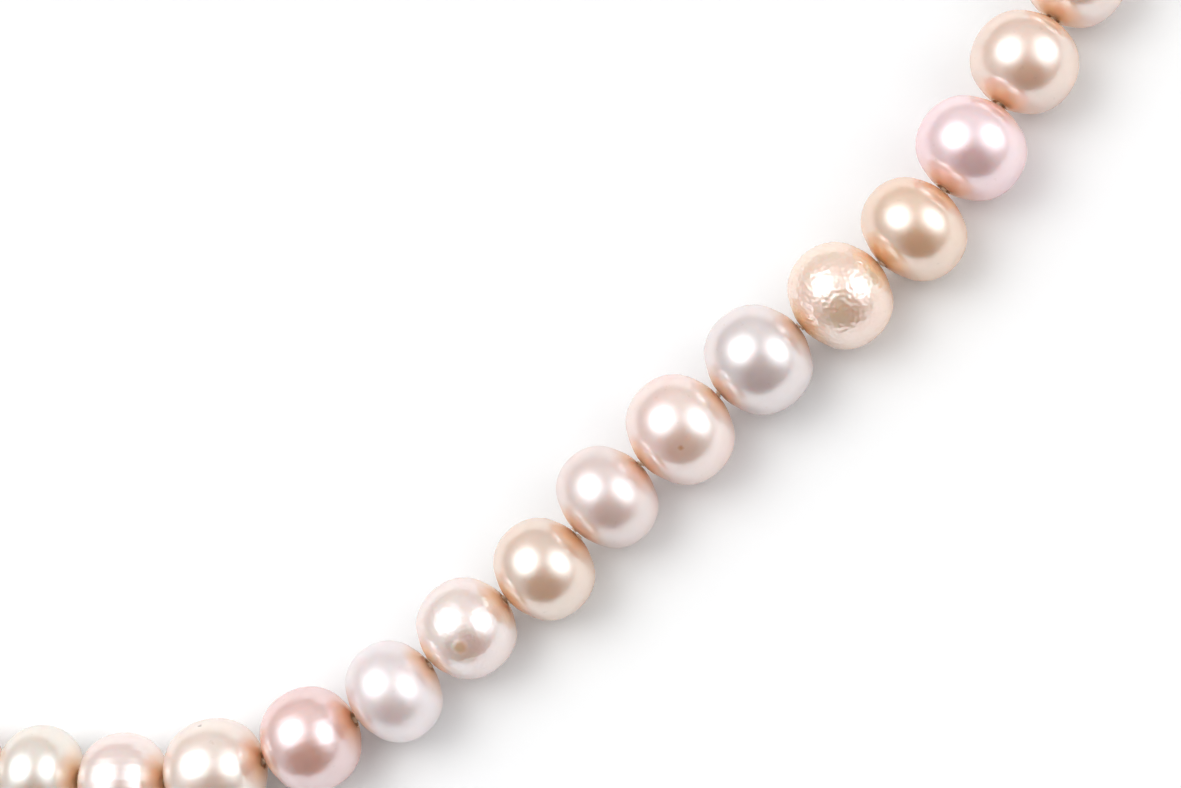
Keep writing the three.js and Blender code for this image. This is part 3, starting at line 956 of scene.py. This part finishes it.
def clasp_body_mesh():
    origin = Vector((0, 0, 0))
    tail_outer = Vector((TAIL_RADIUS, TAIL_RADIUS, 0))
    tail_inner = Vector((TAIL_HOLE_RADIUS, TAIL_HOLE_RADIUS, 0))
    half = CLASP_THICKNESS / 2
    claw = flat_ring(CLAW_CENTRE, CLAW_OUTER, CLAW_INNER_CENTRE, CLAW_INNER, half, CLAW_SQUARENESS)
    tail = flat_ring(origin, tail_outer, origin, tail_inner, TAIL_THICKNESS / 2, TAIL_SQUARENESS)
    body = combined(combined(claw, "UNION", neck_mesh()), "UNION", tail)
    past = CLAW_OUTER.y + CUT_MARGIN
    gate = solid_mesh(block((GATE_START, GATE_SILL), (GATE_END, past), CLASP_THICKNESS))
    slot = solid_mesh(block((SLOT_BACK, SLOT_FLOOR), (SLOT_FRONT, past), SLOT_HALF))
    hole = solid_mesh(disc(PIVOT, PIN_RADIUS + PIN_CLEARANCE, CLASP_THICKNESS))
    for cutter in (gate, slot, hole):
        body = combined(body, "DIFFERENCE", cutter)
    return softened(body, BODY_EDGE)


def lever_outline():
    """The arm carries on the claw's curve, set in a little from it."""
    outer = CLAW_OUTER - Vector((LEVER_INSET, LEVER_INSET, 0))
    inner = outer - Vector((LEVER_ARM_WIDTH, LEVER_ARM_WIDTH, 0))
    outline = []
    for radii, reverse in ((outer, False), (inner, True)):
        start = math.acos((GATE_END - GATE_GAP - CLAW_CENTRE.x) / radii.x)
        end = math.acos((PIVOT.x - CLAW_CENTRE.x) / radii.x)
        angles = np.linspace(start, end, LEVER_ARM_POINTS)
        for angle in reversed(angles) if reverse else angles:
            outline.append((CLAW_CENTRE.x + radii.x * math.cos(angle), radii.y * math.sin(angle)))
    return outline


def thumb_tab_outline():
    root = PIVOT.y + TAB_ROOT_HEIGHT
    shoulder = PIVOT.y + TAB_SHOULDER_HEIGHT
    outline = [(PIVOT.x - TAB_ROOT_HALF, root)]
    for angle in np.linspace(math.pi, 0, TAB_CROWN_POINTS):
        crown = shoulder + TAB_CROWN_RISE * math.sin(angle)
        outline.append((PIVOT.x + TAB_TIP_HALF * math.cos(angle), crown))
    outline.append((PIVOT.x + TAB_ROOT_HALF, root))
    return outline


def clasp_lever_mesh():
    """The arm, its round root and its thumb tab, with the pivot hole and grooves for grip."""
    lever = solid_mesh(slab(lever_outline(), LEVER_HALF))
    lever = combined(lever, "UNION", solid_mesh(disc(PIVOT, LEVER_ROOT_RADIUS, LEVER_HALF)))
    lever = combined(lever, "UNION", solid_mesh(slab(thumb_tab_outline(), LEVER_HALF)))
    hole = solid_mesh(disc(PIVOT, PIN_RADIUS + PIN_CLEARANCE, CLASP_THICKNESS))
    lever = combined(lever, "DIFFERENCE", hole)
    for step in (-1, 0, 1):
        place = PIVOT + Vector((GROOVE_PITCH * step, TAB_SHOULDER_HEIGHT + TAB_CROWN_RISE, 0))
        groove = solid_mesh(disc(place, GROOVE_RADIUS, CLASP_THICKNESS, sides=16))
        lever = combined(lever, "DIFFERENCE", groove)
    return softened(lever, LEVER_EDGE)


def pin_mesh():
    """A pin along Z with its two ends hammered into low domes."""
    half = CLASP_THICKNESS / 2 - PIN_RECESS
    quarter = np.linspace(0, math.pi / 2, PIN_DOME_ROWS)
    top = [(PIN_RADIUS * math.sin(a), half - PIN_DOME + PIN_DOME * math.cos(a)) for a in quarter]
    profile = [(radius, -height) for radius, height in top] + list(reversed(top))
    mesh = solid_mesh(turned(profile, sides=40))
    mesh.transform(Matrix.Translation(PIVOT) @ Matrix.Rotation(math.pi / 2, 4, "X"))
    return mesh


def spring_mesh():
    """A hairpin leaf: two flat legs joined by a round bend."""
    high = PIVOT.y - LEVER_ROOT_RADIUS - SPRING_GAP - SPRING_LEAF / 2
    radius = (SPRING_HEIGHT - SPRING_LEAF) / 2
    bend = Vector((PIVOT.x - SPRING_BACK + SPRING_LEAF / 2 + radius, high - radius, 0))
    path = [Vector((PIVOT.x + SPRING_FRONT, high - 2 * radius, 0))]
    for angle in np.linspace(math.radians(270), math.radians(90), SPRING_BEND_POINTS):
        path.append(bend + Vector((math.cos(angle), math.sin(angle), 0)) * radius)
    path.append(Vector((PIVOT.x + SPRING_FRONT - SPRING_UPPER_SETBACK, high, 0)))
    side = UP * (LEVER_HALF - SPRING_GAP)
    sections = []
    for index, point in enumerate(path):
        along = (path[min(index + 1, len(path) - 1)] - path[max(index - 1, 0)]).normalized()
        across = along.cross(UP) * SPRING_LEAF / 2
        outer, inner = point + across, point - across
        sections.append([outer + side, inner + side, inner - side, outer - side])
    return solid_mesh(loft(sections, False))


def knot_mesh():
    """An overhand knot pulled up into a ball."""
    path = []
    for turn in circle(KNOT_STEPS):
        x = math.sin(turn) + 2 * math.sin(2 * turn)
        y = math.cos(turn) - 2 * math.cos(2 * turn)
        path.append(Vector((x, y, -KNOT_DEPTH * math.sin(3 * turn))) * (KNOT_RADIUS - KNOT_STRAND) / 3)
    return solid_mesh(tube(path, KNOT_STRAND, sides=12, closed=True))


def make_end(number, direction, ring_radius, side, silver, silk):
    """The bead tip on an end pearl, its knot and the thread into it; gives the end's frame and
    the place of the ring in it."""
    tip_node = f"bead_tip_{side}"
    frame_matrix = end_frame(number, direction)
    mouth, tip, ring = end_places(number, ring_radius)
    turn = Matrix.Rotation(TIP_DROOP, 4, "Y") @ Matrix.Rotation(-math.pi / 2, 4, "Z")
    tip_place = frame_matrix @ Matrix.Translation(tip * MM) @ turn
    fitting(f"bead_tip_{side}_shell", bead_tip_mesh(), tip_place, silver, tip_node, tip_node)
    fitting(f"knot_{side}", knot_mesh(), tip_place, silk, tip_node, "silk_thread")
    start, end = frame_matrix @ (mouth * MM), frame_matrix @ (tip * MM)
    twisted_strand(f"silk_to_tip_{side}", start, end, silk, tip_node)
    return frame_matrix, ring


def ring_place(frame_matrix, ring):
    return frame_matrix @ Matrix.Translation(ring * MM) @ Matrix.Rotation(RING_LEAN, 4, "X")


def make_clasp(frame_matrix, ring, silver, steel):
    """The clasp lies flat on the table, with its tail eye where the jump ring comes down to it."""
    height = CLASP_THICKNESS / 2
    reach = ring_reach(JUMP_RING_RADIUS, ring.z, height) - EYE_SETBACK
    eye = Vector((ring.x + reach, ring.y - (ring.z - height) / math.tan(RING_LEAN), height))
    place = frame_matrix @ Matrix.Translation(eye * MM)
    fitting("clasp_body_cast", clasp_body_mesh(), place, silver, "clasp", "clasp_body")
    fitting("clasp_lever_cast", clasp_lever_mesh(), place, silver, "clasp_lever", "clasp_lever")
    fitting("clasp_pin_peened", pin_mesh(), place, steel, "clasp", "clasp_pivot_pin")
    fitting("clasp_spring_leaf", spring_mesh(), place, steel, "clasp", "clasp_spring")


# ---- Scene ----


def make_floor():
    corners = [(-1, -1), (1, -1), (1, 1), (-1, 1)]
    vertices = [(x * FLOOR_REACH, y * FLOOR_REACH, 0) for x, y in corners]
    floor = mesh_object("floor", vertices, [(0, 1, 2, 3)], [floor_material()])


def make_camera():
    """The camera looks at a point beside the middle pearl, which the lights aim at too."""
    data = bpy.data.cameras.new("camera")
    data.lens = CAMERA_LENS
    data.clip_start = CAMERA_NEAREST
    camera = linked_object("camera", data)
    aim = CENTRES[MIDDLE] + AIM_FROM_MIDDLE
    towards = Vector((math.cos(CAMERA_HEADING), math.sin(CAMERA_HEADING), 0)) * math.cos(CAMERA_ELEVATION)
    towards += UP * math.sin(CAMERA_ELEVATION)
    right = (-towards).cross(Vector((0, 1, 0))).normalized()
    above = towards.cross(right)
    turn = Matrix((right, above, towards)).transposed()
    camera.matrix_world = Matrix.Translation(aim + towards * CAMERA_DISTANCE) @ turn.to_4x4()
    bpy.context.scene.camera = camera
    return aim


def softbox_layer(name, aim, direction, distance, size, power):
    """One disc of light that faces the aim; the camera doesn't see it."""
    data = bpy.data.lights.new(name, "AREA")
    data.shape = "DISK"
    data.size = size
    data.energy = power
    light = linked_object(name, data)
    away = Vector(direction).normalized()
    light.location = aim + away * distance
    light.rotation_mode = "QUATERNION"
    light.rotation_quaternion = away.to_track_quat("Z", "Y")
    light.visible_camera = False


def make_lights(aim):
    for name, direction, power in SOFTBOXES:
        for layer, (size, share) in enumerate(SOFTBOX_LAYERS):
            distance = LIGHT_DISTANCE + LAYER_SPACING * layer
            softbox_layer(f"{name}_{layer}", aim, direction, distance, size, power * share)


def make_world():
    """A pale tent round the table, darker low down and at the front, where its opening is."""
    world = bpy.data.worlds.new("light_tent")
    world.use_nodes = True
    tree = world.node_tree
    direction = add_node(tree, "ShaderNodeTexCoord").outputs["Generated"]
    height = ramp(tree, dot_product(tree, direction, UP), 0.0, TENT_RISE, *TENT_LEVELS)
    facing = dot_product(tree, direction, TENT_OPENING)
    front = ramp(tree, facing, *TENT_OPENING_EDGE, 1.0, TENT_OPENING_LEVEL)
    background = tree.nodes["Background"]
    background.inputs["Color"].default_value = TENT_COLOUR
    tree.links.new(product(tree, height, front), background.inputs["Strength"])
    bpy.context.scene.world = world


def make_strand(bore, silk):
    nacre = [nacre_material(index, look) for index, look in enumerate(RUN)]
    for number in range(1, PEARL_COUNT + 1):
        make_pearl(number, nacre[run_index(number)], bore)
        reach = drill_axis(number) * (pearl_size(number)[1] / 2 + THREAD_OVERLAP)
        start, end = CENTRES[number] - reach, CENTRES[number] + reach
        twisted_strand(f"silk_{number:02d}", start, end, silk, pearl_name(number))


def make_ends(silk):
    silver = metal_material("polished_silver", **SILVER)
    steel = metal_material("spring_steel", **STEEL)
    outwards = heading_of(1) + math.pi, heading_of(PEARL_COUNT)
    left, jump_place = make_end(1, outwards[0], JUMP_RING_RADIUS, "left", silver, silk)
    right, end_place = make_end(PEARL_COUNT, outwards[1], END_RING_RADIUS, "right", silver, silk)
    split_ring, split_place = split_ring_mesh(JUMP_RING_RADIUS), ring_place(left, jump_place)
    closed_ring, closed_place = closed_ring_mesh(END_RING_RADIUS), ring_place(right, end_place)
    fitting("jump_ring_wire", split_ring, split_place, silver, "jump_ring", "jump_ring")
    fitting("end_ring_wire", closed_ring, closed_place, silver, "end_ring", "end_ring")
    make_clasp(left, jump_place, silver, steel)


make_lights(make_camera())
make_world()
make_floor()
thread_silk = silk_material()
make_strand(bore_material(), thread_silk)
make_ends(thread_silk)
bpy.context.scene.view_settings.view_transform = "Standard"
